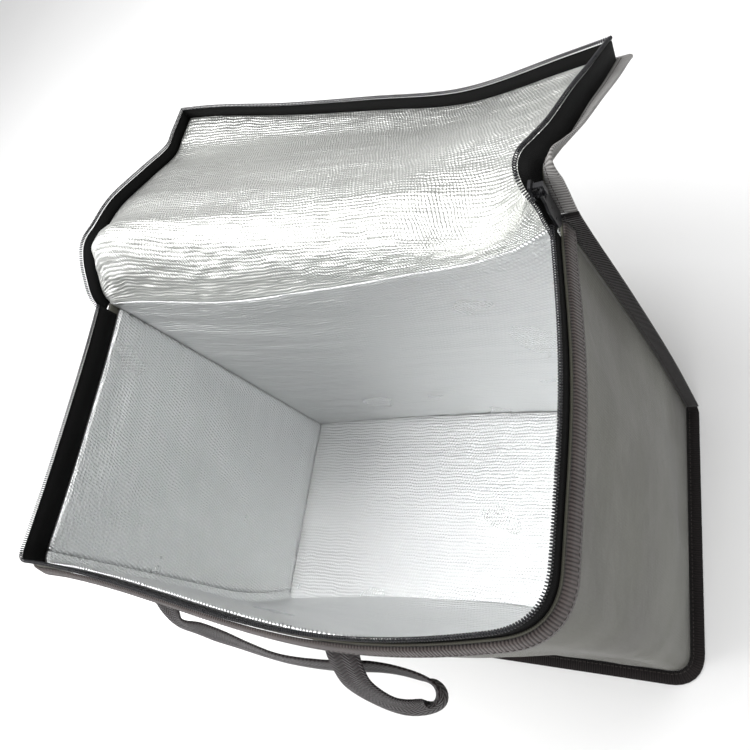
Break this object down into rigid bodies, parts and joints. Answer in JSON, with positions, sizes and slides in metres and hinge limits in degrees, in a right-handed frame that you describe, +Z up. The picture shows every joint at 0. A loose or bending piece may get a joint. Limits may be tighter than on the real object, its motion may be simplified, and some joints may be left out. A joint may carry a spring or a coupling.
{
  "type": "cooler bag",
  "caption": "Soft insulated cooler bag, box shaped, with its zipped lid folded back open, foil lining, bound seams and a webbing handle.",
  "frame": {"origin": "middle of the underside of the base, on the surface the bag stands on", "axes": "+X along the bag's length to its right, +Y to the rear wall that carries the lid, +Z up"},
  "size_m": [0.4889, 0.5575, 0.4008],
  "materials": {
    "olive_cloth": "matt twill",
    "silver_foil": "embossed metallised film on foam",
    "black_zip": "woven tape and coil",
    "ribbed_trim": "ribbed ribbon",
    "dark_trim": "ribbed ribbon",
    "dark_webbing": "woven webbing",
    "black_metal": "satin black"
  },
  "bodies": {
    "bag": {"front_side_band": "olive_cloth", "rear_lid_panel": "olive_cloth", "base_panel": "olive_cloth", "lining_base": "silver_foil", "lining_front": "silver_foil", "lining_left": "silver_foil", "lining_right": "silver_foil", "lining_rear": "silver_foil", "lining_lid": "silver_foil", "body_zip_tape": "black_zip", "body_zip_coil": "black_zip", "lid_zip_tape": "black_zip", "lid_zip_coil": "black_zip", "rim_binding": "ribbed_trim", "lid_binding": "ribbed_trim", "rear_binding_left": "dark_trim", "rear_binding_right": "dark_trim", "bottom_binding": "dark_trim", "front_handle": "dark_webbing", "zip_slider": "black_metal"},
    "tab": {"pull_tab": "black_metal"}
  },
  "joints": [
    {"name": "tab_swing", "type": "hinge", "parent": "bag", "child": "tab", "pos_m": [0.21238, 0.11068, 0.3819], "axis": [0, -1, 0], "range_deg": [0, 125]}
  ]
}
